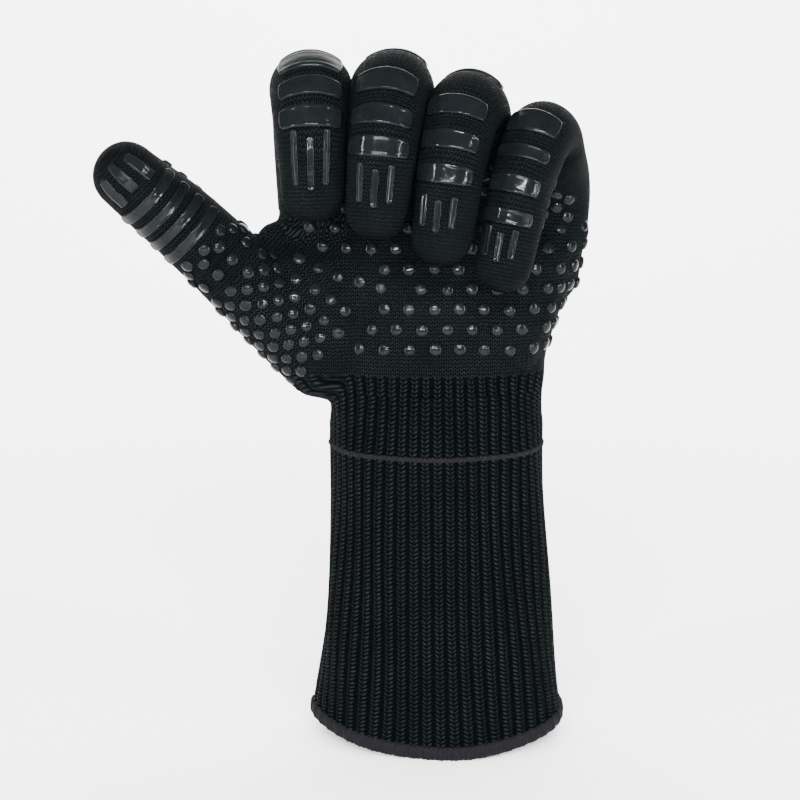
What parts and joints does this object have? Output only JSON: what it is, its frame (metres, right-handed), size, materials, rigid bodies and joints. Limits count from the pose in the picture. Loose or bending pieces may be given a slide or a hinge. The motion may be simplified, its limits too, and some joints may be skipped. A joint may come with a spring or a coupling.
{
  "type": "heat resistant glove",
  "caption": "Left-hand knitted heat resistant glove, half curled, with a long ribbed cuff and printed silicone grip dots, bars and strips.",
  "frame": {"origin": "centre of the cuff opening, in the plane of the hem", "axes": "+Z along the forearm towards the fingers, -Y the way the palm faces, -X the thumb side"},
  "size_m": [0.1994, 0.1097, 0.2899],
  "materials": {
    "knit": "knitted aramid, matt",
    "silicone": "printed silicone, glossy",
    "lining": "cotton knit, matt",
    "thread": "overlock thread"
  },
  "bodies": {
    "cuff": {"cuff_shell": "knit", "cuff_lining": "lining", "cuff_hem": "thread", "wrist_seam": "thread", "wrist_knit": "knit", "wrist_lining": "lining"},
    "hand": {"hand_shell": "knit", "hand_lining": "lining", "palm_dots": "silicone", "back_dots": "silicone"},
    "thumb_base": {"thumb_root_knit": "knit", "thumb_base_shell": "knit", "thumb_lining": "lining", "thumb_dots": "silicone"},
    "thumb_middle": {"thumb_knuckle_knit": "knit", "thumb_middle_shell": "knit", "thumb_bars": "silicone"},
    "thumb_tip": {"thumb_end_knit": "knit", "thumb_tip_shell": "knit", "thumb_strips": "silicone"},
    "index_base": {"index_root_knit": "knit", "index_base_shell": "knit", "index_lining": "lining", "index_dots": "silicone"},
    "index_middle": {"index_knuckle_knit": "knit", "index_middle_shell": "knit", "index_bars": "silicone"},
    "index_tip": {"index_end_knit": "knit", "index_tip_shell": "knit", "index_strips": "silicone"},
    "middle_base": {"middle_root_knit": "knit", "middle_base_shell": "knit", "middle_lining": "lining", "middle_dots": "silicone"},
    "middle_middle": {"middle_knuckle_knit": "knit", "middle_middle_shell": "knit", "middle_bars": "silicone"},
    "middle_tip": {"middle_end_knit": "knit", "middle_tip_shell": "knit", "middle_strips": "silicone"},
    "ring_base": {"ring_root_knit": "knit", "ring_base_shell": "knit", "ring_lining": "lining", "ring_dots": "silicone"},
    "ring_middle": {"ring_knuckle_knit": "knit", "ring_middle_shell": "knit", "ring_bars": "silicone"},
    "ring_tip": {"ring_end_knit": "knit", "ring_tip_shell": "knit", "ring_strips": "silicone"},
    "little_base": {"little_root_knit": "knit", "little_base_shell": "knit", "little_lining": "lining", "little_dots": "silicone"},
    "little_middle": {"little_knuckle_knit": "knit", "little_middle_shell": "knit", "little_bars": "silicone"},
    "little_tip": {"little_end_knit": "knit", "little_tip_shell": "knit", "little_strips": "silicone"}
  },
  "joints": [
    {"name": "wrist", "type": "hinge", "parent": "cuff", "child": "hand", "pos_m": [0, 0, 0.14], "axis": [1, 0, 0], "range_deg": [-30, 30], "stiffness_Nm_per_rad": 4, "deforming": ["wrist_knit", "wrist_lining"]},
    {"name": "thumb_root", "type": "hinge", "parent": "hand", "child": "thumb_base", "pos_m": [-0.06, -0.004, 0.178], "axis": [0.6884, 0, 0.7254], "range_deg": [-15, 30], "stiffness_Nm_per_rad": 0.5, "deforming": ["thumb_root_knit"]},
    {"name": "thumb_knuckle", "type": "hinge", "parent": "thumb_base", "child": "thumb_middle", "pos_m": [-0.09066, -0.00844, 0.20709], "axis": [0.6884, 0, 0.7254], "range_deg": [-10, 40], "stiffness_Nm_per_rad": 0.4, "deforming": ["thumb_knuckle_knit", "thumb_lining"]},
    {"name": "thumb_end", "type": "hinge", "parent": "thumb_middle", "child": "thumb_tip", "pos_m": [-0.11138, -0.01348, 0.22675], "axis": [0.6884, 0, 0.7254], "range_deg": [-8.2, 32.2], "stiffness_Nm_per_rad": 0.3, "deforming": ["thumb_end_knit"]},
    {"name": "index_root", "type": "hinge", "parent": "hand", "child": "index_base", "pos_m": [-0.0523, 0.001, 0.2518], "axis": [0.9988, 0.0349, 0.0349], "range_deg": [-50, 12], "stiffness_Nm_per_rad": 0.5, "deforming": ["index_root_knit"]},
    {"name": "index_knuckle", "type": "hinge", "parent": "index_base", "child": "index_middle", "pos_m": [-0.05209, -0.03575, 0.28268], "axis": [0.9997, 0.0192, 0.0162], "range_deg": [-92, 5], "stiffness_Nm_per_rad": 0.4, "deforming": ["index_knuckle_knit", "index_lining"]},
    {"name": "index_end", "type": "hinge", "parent": "index_middle", "child": "index_tip", "pos_m": [-0.05141, -0.05299, 0.26063], "axis": [0.9997, 0.0192, 0.0162], "range_deg": [-34.3, 2.1], "stiffness_Nm_per_rad": 0.3, "deforming": ["index_end_knit"]},
    {"name": "middle_root", "type": "hinge", "parent": "hand", "child": "middle_base", "pos_m": [-0.0176, 0.001, 0.2506], "axis": [0.9959, -0.0872, -0.0261], "range_deg": [-49, 12], "stiffness_Nm_per_rad": 0.5, "deforming": ["middle_root_knit"]},
    {"name": "middle_knuckle", "type": "hinge", "parent": "middle_base", "child": "middle_middle", "pos_m": [-0.02003, -0.03659, 0.28348], "axis": [0.9909, -0.119, -0.0628], "range_deg": [-95, 5], "stiffness_Nm_per_rad": 0.4, "deforming": ["middle_knuckle_knit", "middle_lining"]},
    {"name": "middle_end", "type": "hinge", "parent": "middle_middle", "child": "middle_tip", "pos_m": [-0.02395, -0.05546, 0.25731], "axis": [0.9909, -0.119, -0.0628], "range_deg": [-30.3, 1.9], "stiffness_Nm_per_rad": 0.3, "deforming": ["middle_end_knit"]},
    {"name": "ring_root", "type": "hinge", "parent": "hand", "child": "ring_base", "pos_m": [0.016, 0.001, 0.2439], "axis": [0.975, -0.2164, -0.0511], "range_deg": [-49, 12], "stiffness_Nm_per_rad": 0.5, "deforming": ["ring_root_knit"]},
    {"name": "ring_knuckle", "type": "hinge", "parent": "ring_base", "child": "ring_middle", "pos_m": [0.00982, -0.03437, 0.27576], "axis": [0.9649, -0.2475, -0.0875], "range_deg": [-96, 5], "stiffness_Nm_per_rad": 0.4, "deforming": ["ring_knuckle_knit", "ring_lining"]},
    {"name": "ring_end", "type": "hinge", "parent": "ring_middle", "child": "ring_tip", "pos_m": [0.00265, -0.05275, 0.24868], "axis": [0.9649, -0.2475, -0.0875], "range_deg": [-27.3, 1.7], "stiffness_Nm_per_rad": 0.3, "deforming": ["ring_end_knit"]},
    {"name": "little_root", "type": "hinge", "parent": "hand", "child": "little_base", "pos_m": [0.0473, 0.001, 0.2361], "axis": [0.9403, -0.3256, -0.0988], "range_deg": [-48, 12], "stiffness_Nm_per_rad": 0.5, "deforming": ["little_root_knit"]},
    {"name": "little_knuckle", "type": "hinge", "parent": "little_base", "child": "little_middle", "pos_m": [0.0403, -0.02781, 0.26442], "axis": [0.9218, -0.3614, -0.1399], "range_deg": [-98, 5], "stiffness_Nm_per_rad": 0.4, "deforming": ["little_knuckle_knit", "little_lining"]},
    {"name": "little_end", "type": "hinge", "parent": "little_middle", "child": "little_tip", "pos_m": [0.02939, -0.04512, 0.23727], "axis": [0.9218, -0.3614, -0.1399], "range_deg": [-26.3, 1.6], "stiffness_Nm_per_rad": 0.3, "deforming": ["little_end_knit"]}
  ],
  "couplings": [
    {"joint": "thumb_end", "follows": "thumb_knuckle", "ratio": 0.8},
    {"joint": "index_end", "follows": "index_knuckle", "ratio": 0.3696},
    {"joint": "middle_end", "follows": "middle_knuckle", "ratio": 0.3158},
    {"joint": "ring_end", "follows": "ring_knuckle", "ratio": 0.2812},
    {"joint": "little_end", "follows": "little_knuckle", "ratio": 0.2653}
  ]
}
